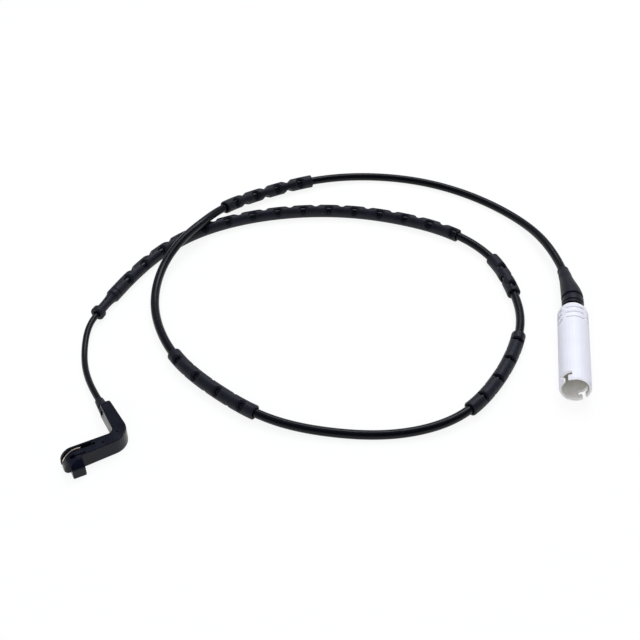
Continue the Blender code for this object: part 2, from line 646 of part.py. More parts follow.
def boot_profile():
    """The boot's outline as (distance from the shell's back rim, radius), cable end first."""
    step = 0.0005
    length, waist, full = BOOT_LENGTH, BOOT_WAIST, BOOT_RADIUS
    return [(-length, waist - step / 2), (-length + step, waist), (-0.93 * length, waist),
            (-0.85 * length, waist + 0.0003), (-0.74 * length, waist + 0.0005), (-0.65 * length, 0.72 * full),
            (-0.55 * length, 0.82 * full), (-0.46 * length, 0.91 * full), (-0.36 * length, 0.98 * full),
            (-0.305 * length, full), (-0.30 * length, full - 0.0008), (-0.255 * length, full - 0.0008),
            (-0.25 * length, full), (-0.14 * length, full), (-0.135 * length, full - 0.0005),
            (-0.115 * length, full - 0.0005), (-0.11 * length, full), (-0.065 * length, full),
            (-0.06 * length, full - 0.0009), (-0.015 * length, full - 0.0009), (-0.01 * length, full),
            (BOOT_TAIL - step, full), (BOOT_TAIL, full - step)]


def arc_block(r0, r1, z0, z1, start, end):
    """A block bent round Z between two radii, two heights and two angles in degrees."""
    count = max(2, int(abs(end - start) / 11) + 1)
    rings = []
    for angle in np.radians(np.linspace(start, end, count)):
        c, s = math.cos(angle), math.sin(angle)
        rings.append([(r * c, r * s, z) for r, z in ((r0, z0), (r1, z0), (r1, z1), (r0, z1))])
    return loft(rings)


def build_connector(white, rubber, black, brass, jacket, route):
    """White bayonet shell, ribbed boot, seal, carrier, pins and core wires, on the shell's axis."""
    bore = SLEEVE_BORE
    places = [x for x, _ in boot_profile()]
    inner = [(x, bore) for x in np.linspace(places[0], places[-1], 8)]
    boot = tube_mesh(boot_profile(), inner)
    route.bend(boot, route.length - 0.018)
    add_object("connector_boot", boot, rubber)

    carrier = bpy.data.objects.new("connector_axis", None)
    bpy.context.scene.collection.objects.link(carrier)
    ahead = Vector((*CONNECTOR_HEADING, 0)).normalized()
    up = Vector((0, 0, 1))
    side = up.cross(ahead)
    turn = Matrix((up, side, ahead)).transposed()
    place = Vector((*CONNECTOR_PLACE, SHELL_BACK_RADIUS + FLOOR_GAP))
    carrier.matrix_world = Matrix.Translation(place) @ turn.to_4x4()
    bpy.context.view_layer.update()

    def mount(name, mesh, material):
        obj = add_object(name, mesh, material)
        obj.parent = carrier
        bpy.context.view_layer.update()
        return obj

    rim, lip = 0.0004, 0.0008
    end = SHELL_LENGTH
    profile = [(SHELL_BORE + rim, 0), (SHELL_RIM_RADIUS, rim), (SHELL_RIM_RADIUS + 0.0007, 0.0014),
               (SHELL_BACK_RADIUS - 0.0001, 0.0030), (SHELL_BACK_RADIUS, 0.0040),
               (SHELL_MOUTH_RADIUS, end - lip), (SHELL_MOUTH_RADIUS - rim, end),
               (SOCKET_RADIUS + rim, end), (SOCKET_RADIUS, end - lip),
               (SHELL_BACK_RADIUS - SHELL_WALL, SHOULDER), (SHELL_BORE, SHOULDER), (SHELL_BORE, rim)]
    shell = mount("connector_shell", turned(profile, ROUND_SIDES, wrap=True), white)
    grooves = []
    for row in range(3):
        z = GRIP_START + row * GRIP_PITCH
        for quarter in range(4):
            first = SLOT_TURN + GRIP_GAP_ANGLE / 2 + 90 * quarter
            grooves.append(arc_block(SHELL_BACK_RADIUS - GRIP_DEPTH, SHELL_BACK_RADIUS + 0.001, z - GRIP_WIDTH / 2,
                                     z + GRIP_WIDTH / 2, first, first + 90 - GRIP_GAP_ANGLE))
    cut(shell, outward(joined(grooves)), "grip_grooves")
    stem = math.degrees(STEM_WIDTH / SHELL_MOUTH_RADIUS)
    bar = end - STEM_LENGTH - BAR_WIDTH / 2
    inside, outside = SOCKET_RADIUS - 0.001, SHELL_MOUTH_RADIUS + 0.001
    for index in range(2):
        turned_to = SLOT_TURN + 180 * index
        cut(shell, outward(arc_block(inside, outside, bar - BAR_WIDTH / 2, bar + BAR_WIDTH / 2,
                                     turned_to - BAR_ANGLE / 2, turned_to + BAR_ANGLE / 2)), f"slot_bar_{index + 1}")
        cut(shell, outward(arc_block(inside, outside, bar, end + 0.001, turned_to - stem / 2, turned_to + stem / 2)),
            f"slot_stem_{index + 1}")

    step = 0.0005
    carrier_end = CARRIER_START + CARRIER_LENGTH
    core = mount("contact_carrier", turned([
        (CARRIER_RADIUS - step, CARRIER_START), (CARRIER_RADIUS, CARRIER_START + step),
        (CARRIER_RADIUS, carrier_end - 0.0040), (CARRIER_RADIUS - 0.0012, carrier_end - 0.0036),
        (CARRIER_RADIUS - 0.0012, carrier_end - step), (CARRIER_RADIUS - 0.0012 - step, carrier_end)], 24), black)
    pin_start = CARRIER_START - 0.0030
    holes = []
    for side_sign in (-1, 1):
        hole = turned([(PIN_RADIUS + FIT, CARRIER_START - 0.001), (PIN_RADIUS + FIT, carrier_end + 0.001)], 12)
        hole.transform(Matrix.Translation((0, side_sign * PIN_PITCH / 2, 0)))
        holes.append(hole)
    cut(core, outward(joined(holes)), "pin_holes")

    seal_start = BOOT_TAIL + 2 * FIT
    seal_end = seal_start + SEAL_LENGTH
    lips = []
    for row in range(3):
        middle = seal_start + SEAL_LENGTH * (row + 0.5) / 3
        lips += [(BOOT_RADIUS - SEAL_LIP, middle - SEAL_LENGTH / 7), (BOOT_RADIUS, middle),
                 (BOOT_RADIUS - SEAL_LIP, middle + SEAL_LENGTH / 7)]
    seal = mount("wire_seal", turned([(BOOT_RADIUS - SEAL_LIP, seal_start), *lips,
                                      (BOOT_RADIUS - SEAL_LIP, seal_end)], 24), rubber)
    core_holes = []
    for side_sign in (-1, 1):
        hole = turned([(CORE_RADIUS + FIT, seal_start - 0.001), (CORE_RADIUS + FIT, seal_end + 0.001)], 10)
        hole.transform(Matrix.Translation((0, side_sign * PIN_PITCH / 2, 0)))
        core_holes.append(hole)
    cut(seal, outward(joined(core_holes)), "core_holes")

    for side_sign, letter in ((-1, "a"), (1, "b")):
        offset = side_sign * PIN_PITCH / 2
        pin = turned([(PIN_RADIUS + 0.0003, pin_start), (PIN_RADIUS + 0.0003, CARRIER_START - FIT),
                      (PIN_RADIUS, CARRIER_START - FIT), (PIN_RADIUS, pin_start + PIN_LENGTH - 0.0008),
                      (PIN_RADIUS / 2, pin_start + PIN_LENGTH)], 12)
        pin.transform(Matrix.Translation((0, offset, 0)))
        mount(f"contact_pin_{letter}", pin, brass)
        wire = turned([(CORE_RADIUS, seal_start), (CORE_RADIUS, pin_start - FIT)], 8)
        wire.transform(Matrix.Translation((0, offset, 0)))
        mount(f"core_wire_{letter}", wire, jacket)


clear_scene()
head_plastic = make_material("head plastic", (0.018, 0.019, 0.024), 0.35)
sleeve_rubber = make_material("sleeve rubber", (0.022, 0.023, 0.028), 0.55)
cable_jacket = make_material("cable jacket", (0.012, 0.012, 0.015), 0.28)
shell_plastic = make_material("shell plastic", (0.80, 0.82, 0.88), 0.38)
carrier_plastic = make_material("carrier plastic", (0.10, 0.10, 0.10), 0.5)
spring_copper = make_material("spring copper", (0.72, 0.50, 0.36), 0.25, 1.0)
pin_brass = make_material("pin brass", (0.75, 0.62, 0.35), 0.25, 1.0)
wire_enamel = make_material("wire enamel", (0.35, 0.12, 0.05), 0.4)

build_head(head_plastic, spring_copper, wire_enamel)
cord_line = cord_route()
build_cord(cord_line, sleeve_rubber, cable_jacket)
build_connector(shell_plastic, sleeve_rubber, carrier_plastic, pin_brass, cable_jacket, cord_line)
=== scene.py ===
"""Brake pad wear sensor lying in a loop on a white studio floor, seen from above at the front left."""
import math

import bpy
import numpy as np
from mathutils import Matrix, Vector


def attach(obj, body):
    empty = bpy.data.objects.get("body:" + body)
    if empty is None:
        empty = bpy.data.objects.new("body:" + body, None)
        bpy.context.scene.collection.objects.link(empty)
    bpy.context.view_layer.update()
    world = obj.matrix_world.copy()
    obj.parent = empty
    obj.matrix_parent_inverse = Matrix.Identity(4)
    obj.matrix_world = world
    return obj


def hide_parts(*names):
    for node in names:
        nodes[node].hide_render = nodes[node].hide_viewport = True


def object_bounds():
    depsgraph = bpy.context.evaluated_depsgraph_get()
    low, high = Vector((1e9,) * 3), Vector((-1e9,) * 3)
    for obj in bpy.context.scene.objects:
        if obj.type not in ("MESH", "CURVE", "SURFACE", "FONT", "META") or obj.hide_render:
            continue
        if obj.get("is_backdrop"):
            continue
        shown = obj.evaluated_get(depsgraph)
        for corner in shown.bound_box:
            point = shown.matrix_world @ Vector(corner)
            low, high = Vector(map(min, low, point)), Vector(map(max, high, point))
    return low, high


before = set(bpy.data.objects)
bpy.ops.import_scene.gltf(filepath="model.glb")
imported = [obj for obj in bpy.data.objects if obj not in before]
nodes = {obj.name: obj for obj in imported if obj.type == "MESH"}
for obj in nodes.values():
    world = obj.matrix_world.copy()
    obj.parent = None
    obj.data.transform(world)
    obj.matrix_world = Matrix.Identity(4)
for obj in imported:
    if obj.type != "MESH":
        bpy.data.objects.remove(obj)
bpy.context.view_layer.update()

scene = bpy.context.scene


# Camera: 42 degrees above the floor, turned 27 degrees from the head's upper arm. All lengths
# are metres in the row's frame, whose origin is under the middle of the sensing head.
camera = bpy.data.objects.new("camera", bpy.data.cameras.new("camera"))
scene.collection.objects.link(camera)
camera.location = (-0.0586, -0.3378, 0.3700)
camera.rotation_euler = (math.radians(48.0), 0.0, math.radians(-27.2))
camera.data.lens = 61.47
camera.data.sensor_width = 36.0
camera.data.clip_start = 0.01
camera.data.clip_end = 20.0
scene.camera = camera


# The way the cord lies: out of the head's boss, once round the loop, over itself in a low hump
# and into the connector. The lead, the cable and every rubber piece on them follow it.
def cord_line(points, spacing):
    """Natural cubic through points: each stretch is a cubic in the chord length, whose second
    differences solve the tridiagonal system that joins slopes; returned at an even spacing."""
    points = np.array(points, float)
    knots = np.r_[0, np.cumsum(np.linalg.norm(np.diff(points, axis=0), axis=1))]
    step = np.diff(knots)
    count = len(points)
    matrix, right = np.eye(count), np.zeros((count, 3))
    for k in range(1, count - 1):
        matrix[k, k - 1:k + 2] = step[k - 1], 2 * (step[k - 1] + step[k]), step[k]
        right[k] = 6 * ((points[k + 1] - points[k]) / step[k] - (points[k] - points[k - 1]) / step[k - 1])
    bend = np.linalg.solve(matrix, right)
    place = np.linspace(0, knots[-1], 24000)
    k = np.clip(np.searchsorted(knots, place, side="right") - 1, 0, count - 2)
    ahead, behind, width = (knots[k + 1] - place)[:, None], (place - knots[k])[:, None], step[k][:, None]
    line = (bend[k] * ahead ** 3 + bend[k + 1] * behind ** 3) / (6 * width) \
        + (points[k] / width - bend[k] * width / 6) * ahead \
        + (points[k + 1] / width - bend[k + 1] * width / 6) * behind
    reach = np.r_[0, np.cumsum(np.linalg.norm(np.diff(line, axis=0), axis=1))]
    even = np.arange(0, reach[-1], spacing)
    return np.stack([np.interp(even, reach, line[:, axis]) for axis in range(3)], axis=1)


way_step = 0.0001
way = cord_line([
    (0.01105, 0.0102, 0.0040), (0.01105, 0.0158, 0.0040), (0.0108, 0.0295, 0.0030), (0.0122, 0.0456, 0.0018),
    (0.0166, 0.0605, 0.0018), (0.0236, 0.0730, 0.0037), (0.0320, 0.0815, 0.00365), (0.0441, 0.0913, 0.00365),
    (0.0660, 0.1065, 0.00365), (0.0947, 0.1181, 0.00365), (0.1259, 0.1191, 0.00365), (0.1562, 0.1115, 0.00365),
    (0.1842, 0.0971, 0.00365), (0.2085, 0.0761, 0.00365), (0.2257, 0.0516, 0.00365), (0.2314, 0.0265, 0.00365),
    (0.2275, 0.0030, 0.00365), (0.2180, -0.0197, 0.00365), (0.2027, -0.0372, 0.00365), (0.1799, -0.0535, 0.00375),
    (0.1534, -0.0634, 0.00365), (0.1254, -0.0593, 0.00245), (0.1001, -0.0460, 0.00245), (0.0770, -0.0260, 0.00355),
    (0.0624, 0.0007, 0.00365), (0.0538, 0.0294, 0.00365), (0.0538, 0.0557, 0.00355), (0.0611, 0.0805, 0.00365),
    (0.0718, 0.0966, 0.0058115), (0.0907, 0.1113, 0.009545), (0.1026, 0.1176, 0.0102), (0.1183, 0.1269, 0.0080385),
    (0.1465, 0.1351, 0.00415), (0.1806, 0.1336, 0.00365), (0.2109, 0.1242, 0.00245), (0.2363, 0.1048, 0.00245),
    (0.2556, 0.0767, 0.00245), (0.2645, 0.0456, 0.00345), (0.2616, 0.0156, 0.00655), (0.2583, 0.0028, 0.0067),
    (0.2542, -0.0072, 0.0074), (0.2511, -0.0138, 0.0077), (0.24681, -0.02314, 0.0077),
    (0.23926, -0.03372, 0.0077), (0.22996, -0.04674, 0.0077)], way_step)
way_length = (len(way) - 1) * way_step


def laid(start, along, across, height, roll):
    """Lay a straight piece on the way. The centre is the way at start + along, the sideways
    direction is level and square to it, and across and height are turned by roll degrees."""
    length = np.arange(len(way)) * way_step
    here, before, after = [np.stack([np.interp(start + along + shift, length, way[:, axis]) for axis in range(3)], -1)
                           for shift in (0.0, -0.0005, 0.0005)]
    forward = after - before
    forward /= np.linalg.norm(forward, axis=-1, keepdims=True)
    side = np.cross(forward, [0, 0, 1])
    side /= np.linalg.norm(side, axis=-1, keepdims=True)
    up = np.cross(side, forward)
    c, s = math.cos(math.radians(roll)), math.sin(math.radians(roll))
    return here + side * (across * c - height * s)[..., None] + up * (across * s + height * c)[..., None]


# Rubber sleeves and boots: moulded tubes of satin black rubber pushed onto the cord. Saddle cuts
# open the sleeves from alternate sides, so that the cord shows through and the sleeve bends.
def rubber_material(name, colour, rough, ior):
    """Moulded rubber: satin black with cloudy tone and roughness, and a fine grain."""
    material = bpy.data.materials.new(name)
    material.use_nodes = True
    tree = material.node_tree
    shader = tree.nodes["Principled BSDF"]
    shader.inputs["IOR"].default_value = ior
    where = tree.nodes.new("ShaderNodeTexCoord")
    cloud = tree.nodes.new("ShaderNodeTexNoise")
    cloud.inputs["Scale"].default_value = 170
    cloud.inputs["Detail"].default_value = 6
    tree.links.new(where.outputs["Object"], cloud.inputs["Vector"])
    tone = tree.nodes.new("ShaderNodeValToRGB")
    tone.color_ramp.elements[0].position = 0.32
    tone.color_ramp.elements[0].color = (*[0.75 * c for c in colour], 1)
    tone.color_ramp.elements[1].position = 0.72
    tone.color_ramp.elements[1].color = (*[1.45 * c for c in colour], 1)
    tree.links.new(cloud.outputs["Fac"], tone.inputs["Fac"])
    tree.links.new(tone.outputs["Color"], shader.inputs["Base Color"])
    roughness = tree.nodes.new("ShaderNodeMapRange")
    roughness.inputs["From Min"].default_value = 0.3
    roughness.inputs["From Max"].default_value = 0.7
    roughness.inputs["To Min"].default_value = rough
    roughness.inputs["To Max"].default_value = rough + 0.16
    tree.links.new(cloud.outputs["Fac"], roughness.inputs["Value"])
    tree.links.new(roughness.outputs["Result"], shader.inputs["Roughness"])
    grain = tree.nodes.new("ShaderNodeTexNoise")
    grain.inputs["Scale"].default_value = 2200
    grain.inputs["Detail"].default_value = 3
    tree.links.new(where.outputs["Object"], grain.inputs["Vector"])
    bump = tree.nodes.new("ShaderNodeBump")
    bump.inputs["Strength"].default_value = 0.3
    bump.inputs["Distance"].default_value = 0.0001
    tree.links.new(grain.outputs["Fac"], bump.inputs["Height"])
    tree.links.new(bump.outputs["Normal"], shader.inputs["Normal"])
    return material


def rubber_tube(name, start, length, roll, body, bore, cuts=(), dots=(), sides=48):
    """A tube with cuts, laid on the way. At each length the outside is the body's radius with its
    ends rounded, or less where a cut's plane lies lower: the plane's height over the cosine of the
    angle from the cut's middle. The plane is flat in the middle and rises to both sides. Where it
    lies below the bore the tube is open, and the rim of the opening is moved onto that line."""
    first, last = body[0][0], body[-1][0]
    edge, blend, mean_radius, dot_radius = 0.00035, 0.0003, 0.003, 0.0024
    ring_step, least_step, tiny, furthest = 0.0006, 0.00004, 0.00001, 0.0003
    near = np.array([0, .35, .7, 1.0, 1.3, 1.55, 1.8, 2.05, 2.3, 2.5, 2.7, 2.9, 3.15]) * 0.001
    ends = np.array([0, .03, .08, .15, .25, .35, .5]) * 0.001
    places = [first + ends, last - ends, np.arange(first, last, ring_step)]
    places += [np.array([x for x, _ in body])] + [place + sign * near for place, *_ in cuts for sign in (-1, 1)]
    places += [place + np.linspace(-0.0009, 0.0009, 15) for place, *_ in dots]
    rings = np.sort(np.concatenate(places))
    rings = rings[(rings >= first) & (rings <= last)]
    rings = rings[np.r_[True, np.diff(rings) > least_step]]

    def outside(x, u):
        inset = np.clip(edge - np.minimum(x - first, last - x), 0, edge)
        radius = np.interp(x, *zip(*body)) - edge + np.sqrt(edge ** 2 - inset ** 2)
        for place, angle, floor, half, slope in cuts:
            facing = np.cos(u - math.radians(90 + angle))
            plane = (floor + np.maximum(np.abs(x - place) - half, 0) * slope) / np.maximum(facing, 0.05)
            share = np.clip(0.5 + 0.5 * (plane - radius) / blend, 0, 1)
            radius = plane * (1 - share) + radius * share - blend * share * (1 - share)
        for place, angle, size, depth in dots:
            turn = u - math.radians(90 + angle)
            away = np.hypot(x - place, dot_radius * np.arctan2(np.sin(turn), np.cos(turn)))
            radius = radius - depth * np.clip(1.3 - away / size, 0, 1) ** 0.5
        return radius

    def inside(x):
        return np.interp(x, *zip(*bore))

    x, u = np.meshgrid(rings, np.arange(sides) * 2 * math.pi / sides, indexing="ij")
    gap = outside(x, u) - inside(x)
    shut = gap > 0
    solid = shut[:-1] | shut[1:]
    solid |= np.roll(solid, -1, axis=1)
    touched = np.zeros_like(shut)
    touched[:-1] |= solid
    touched[1:] |= solid
    touched |= np.roll(touched, 1, axis=1)
    rim = touched & ~shut
    for _ in range(4):
        rise_x = (outside(x + tiny, u) - outside(x - tiny, u)) / (2 * tiny)
        rise_u = (outside(x, u + tiny / mean_radius) - outside(x, u - tiny / mean_radius)) / (2 * tiny)
        move = np.where(rim, -gap / (rise_x ** 2 + rise_u ** 2 + 0.01), 0)
        move = np.clip(move, -furthest, furthest)
        x, u = x + move * rise_x, u + move * rise_u / mean_radius
        gap = outside(x, u) - inside(x)
    wide, narrow = outside(x, u), inside(x)
    wide[rim] = narrow[rim]

    count = x.size
    points = np.concatenate([laid(start, x, radius * np.cos(u), radius * np.sin(u), roll).reshape(-1, 3)
                             for radius in (wide, narrow)])
    index = np.arange(count).reshape(x.shape)
    under = np.where(rim, index, index + count)
    faces = []
    for table, flip in ((index, False), (under, True)):
        onward = np.roll(table, -1, axis=1)
        quads = np.stack([table[:-1], onward[:-1], onward[1:], table[1:]], axis=-1)[solid]
        faces.append(quads[:, ::-1] if flip else quads)
    for row, flip in ((0, True), (-1, False)):
        quads = np.stack([index[row], np.roll(index[row], -1), np.roll(under[row], -1), under[row]], axis=-1)
        faces.append(quads[:, ::-1] if flip else quads)
    faces = np.concatenate(faces)
    used, faces = np.unique(faces, return_inverse=True)
    mesh = bpy.data.meshes.new(name)
    mesh.from_pydata(points[used], [], faces.reshape(-1, 4).tolist())
    mesh.polygons.foreach_set("use_smooth", np.ones(len(mesh.polygons), bool))
    mesh.set_sharp_from_angle(angle=math.radians(38))
    mesh.update()
    piece = bpy.data.objects.new(name, mesh)
    scene.collection.objects.link(piece)
    return piece


rubber = rubber_material("sleeve rubber", (0.0056, 0.0064, 0.0108), 0.40, 1.33)
sleeve_radius, sleeve_bore, lead_bore, pitch = 0.00355, 0.00265, 0.00185, 0.00727
cut_floor, cut_half, cut_slope = 0.00195, 0.00075, 0.7805

long_body = [(0.0, 0.0034), (0.0002, 0.0036), (0.0026, 0.0036), (0.0030, 0.0034), (0.0034, 0.0024), (0.0089, 0.0024),
             (0.0120, 0.0026), (0.0144, 0.0030), (0.0150, 0.0035), (0.0153, 0.00355), (0.0176, 0.00355),
             (0.0178, 0.0031), (0.0180, 0.0031), (0.0182, 0.00355), (0.2340, 0.00355)]
long_stations = np.arange(0.0279, 0.2325, pitch)
long_sleeve = rubber_tube(
    "long_sleeve_skin", 0.0742, 0.2340, -34, long_body,
    [(0.0, lead_bore), (0.0150, lead_bore), (0.0153, sleeve_bore), (0.2340, sleeve_bore)],
    [(x, 90 * (row % 2), cut_floor, cut_half, cut_slope) for row, x in enumerate(long_stations)],
    [(0.00951, -25, 0.0005, 0.0004), (0.00951, 45, 0.0005, 0.0004)])
sleeves = [long_sleeve]
deep, small = (cut_floor, cut_half, cut_slope), (0.0021, 0.0006, 0.9)
thin, shallow = (0.0016, 0.0003, 1.6), (0.0029, 0.0004, 1.0)
for number, start, length, share, roll, facing, other in (
        (2, 0.3344, 0.0297, 0.69, 10, deep, deep), (3, 0.3961, 0.0584, 0.39, 12, thin, shallow),
        (4, 0.5586, 0.0568, 0.52, 38, small, shallow), (5, 0.7416, 0.0584, 0.48, -48, deep, deep)):
    count = round(length / pitch - 1)
    margin = (length - (count - 1) * pitch) * share
    cuts = [(margin + row * pitch, turn + 90 * (row % 2), *(other if row % 2 else facing))
            for row in range(count) for turn in (0, 180)]
    sleeves.append(rubber_tube(
        f"sleeve_{number}_skin", start, length, roll, [(0, sleeve_radius), (length, sleeve_radius)],
        [(0, sleeve_bore), (length, sleeve_bore)], cuts))

lead_boot = rubber_tube("lead_boot_skin", 0.0059, 0.0050, 0, [(0.0, 0.0023), (0.0004, 0.0024), (0.0050, 0.0021)],
                        [(0.0, lead_bore), (0.0050, lead_bore)], sides=40)
boot_body = [(-0.0332, 0.00285), (-0.0329, 0.0030), (-0.0309, 0.0030), (-0.0282, 0.0033), (-0.0246, 0.0035),
             (-0.0216, 0.00396), (-0.0183, 0.00451), (-0.0153, 0.00501), (-0.0120, 0.00539), (-0.0102, 0.0055),
             (-0.0099, 0.0047), (-0.0085, 0.0047), (-0.0082, 0.0055), (-0.0047, 0.0055), (-0.0045, 0.0050),
             (-0.0038, 0.0050), (-0.0036, 0.0055), (-0.0022, 0.0055), (-0.0020, 0.0046), (-0.0005, 0.0046),
             (-0.0003, 0.0055), (0.0115, 0.0055)]
connector_boot = rubber_tube("connector_boot_skin", way_length - 0.018, 0.0447, 0, boot_body,
                             [(-0.0332, sleeve_bore), (0.0115, sleeve_bore)], sides=64)
for piece, node in ((lead_boot, "lead_boot"), (long_sleeve, "long_sleeve"), (sleeves[1], "sleeve_2"),
                    (sleeves[2], "sleeve_3"), (sleeves[3], "sleeve_4"), (sleeves[4], "sleeve_5"),
                    (connector_boot, "connector_boot")):
    piece.data.materials.append(rubber)
    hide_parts(node)
    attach(piece, "root")
nodes["wire_seal"].data.materials.clear()
nodes["wire_seal"].data.materials.append(rubber)


# Lead and cable: round extruded jackets, glossy black, the thin lead ending inside the long
# sleeve's neck, where the thicker cable takes over and runs on into the connector's boot.
def cord_curve(name, start, end, count, radius):
    """A round cord: a poly curve along the way with a circular bevel and capped ends."""
    line = way[np.linspace(round(start / way_step), round(end / way_step), count).astype(int)]
    curve = bpy.data.curves.new(name, "CURVE")
    curve.dimensions = "3D"
    curve.bevel_depth = radius
    curve.bevel_resolution = 8
    curve.use_fill_caps = True
    spline = curve.splines.new("POLY")
    spline.points.add(len(line) - 1)
    spline.points.foreach_set("co", np.column_stack([line, np.ones(len(line))]).ravel())
    obj = bpy.data.objects.new(name, curve)
    scene.collection.objects.link(obj)
    return obj


def jacket_material(name, colour, rough):
    """Extruded jacket: glossy black, its roughness wandering along the cord, with a faint grain."""
    material = bpy.data.materials.new(name)
    material.use_nodes = True
    tree = material.node_tree
    shader = tree.nodes["Principled BSDF"]
    shader.inputs["Base Color"].default_value = (*colour, 1)
    shader.inputs["IOR"].default_value = 1.29
    where = tree.nodes.new("ShaderNodeTexCoord")
    wander = tree.nodes.new("ShaderNodeTexNoise")
    wander.inputs["Scale"].default_value = 90
    wander.inputs["Detail"].default_value = 5
    tree.links.new(where.outputs["Object"], wander.inputs["Vector"])
    roughness = tree.nodes.new("ShaderNodeMapRange")
    roughness.inputs["From Min"].default_value = 0.35
    roughness.inputs["From Max"].default_value = 0.7
    roughness.inputs["To Min"].default_value = rough
    roughness.inputs["To Max"].default_value = rough + 0.12
    tree.links.new(wander.outputs["Fac"], roughness.inputs["Value"])
    tree.links.new(roughness.outputs["Result"], shader.inputs["Roughness"])
    grain = tree.nodes.new("ShaderNodeTexNoise")
    grain.inputs["Scale"].default_value = 1100
    grain.inputs["Detail"].default_value = 3
    tree.links.new(where.outputs["Object"], grain.inputs["Vector"])
    bump = tree.nodes.new("ShaderNodeBump")
    bump.inputs["Strength"].default_value = 0.12
    bump.inputs["Distance"].default_value = 0.0001
    tree.links.new(grain.outputs["Fac"], bump.inputs["Height"])
    tree.links.new(bump.outputs["Normal"], shader.inputs["Normal"])
    return material


jacket = jacket_material("cable jacket", (0.0018, 0.0022, 0.0040), 0.22)
lead = cord_curve("lead_jacket", 0.0, 0.0898, 61, 0.00155)
lead.data.materials.append(jacket)
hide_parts("lead")
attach(lead, "root")
cable = cord_curve("cable_jacket", 0.0901, 1.0279, 626, 0.0022)
cable.data.materials.append(jacket)
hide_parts("cable")
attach(cable, "root")
for name in ("core_wire_a", "core_wire_b"):
    nodes[name].data.materials.clear()
    nodes[name].data.materials.append(jacket)


# Sensing head: one satin black moulding, slightly smoother than the rubber, with a fine spark
# texture from its mould.
head_plastic = rubber_material("head plastic", (0.0024, 0.0032, 0.0078), 0.16, 1.29)
nodes["head_body"].data.materials.clear()
nodes["head_body"].data.materials.append(head_plastic)


# Leaf spring: copper-coloured strip rolled along its length, and the enamelled wire in the nose.
def strip_material(name, colour, rough):
    """Rolled metal: bright, with fine lines along the strip and cloudy roughness."""
    material = bpy.data.materials.new(name)
    material.use_nodes = True
    tree = material.node_tree
    shader = tree.nodes["Principled BSDF"]
    shader.inputs["Metallic"].default_value = 1.0
    where = tree.nodes.new("ShaderNodeTexCoord")
    stretch = tree.nodes.new("ShaderNodeMapping")
    stretch.inputs["Scale"].default_value = (0.08, 1.0, 1.0)
    tree.links.new(where.outputs["Object"], stretch.inputs["Vector"])
    lines = tree.nodes.new("ShaderNodeTexNoise")
    lines.inputs["Scale"].default_value = 2600
    lines.inputs["Detail"].default_value = 4
    tree.links.new(stretch.outputs["Vector"], lines.inputs["Vector"])
    tone = tree.nodes.new("ShaderNodeValToRGB")
    tone.color_ramp.elements[0].position = 0.3
    tone.color_ramp.elements[0].color = (*[0.78 * c for c in colour], 1)
    tone.color_ramp.elements[1].position = 0.7
    tone.color_ramp.elements[1].color = (*colour, 1)
    tree.links.new(lines.outputs["Fac"], tone.inputs["Fac"])
    tree.links.new(tone.outputs["Color"], shader.inputs["Base Color"])
    roughness = tree.nodes.new("ShaderNodeMapRange")
    roughness.inputs["To Min"].default_value = rough
    roughness.inputs["To Max"].default_value = rough + 0.18
    tree.links.new(lines.outputs["Fac"], roughness.inputs["Value"])
    tree.links.new(roughness.outputs["Result"], shader.inputs["Roughness"])
    return material


copper = strip_material("spring copper", (0.86, 0.72, 0.56), 0.22)
gilt = strip_material("contact plating", (0.80, 0.66, 0.36), 0.25)
for name, material in (("retaining_spring", copper), ("contact_pin_a", gilt), ("contact_pin_b", gilt)):
    nodes[name].data.materials.clear()
    nodes[name].data.materials.append(material)
enamel = jacket_material("wire enamel", (0.20, 0.055, 0.02), 0.2)
nodes["sensing_wire"].data.materials.clear()
nodes["sensing_wire"].data.materials.append(enamel)


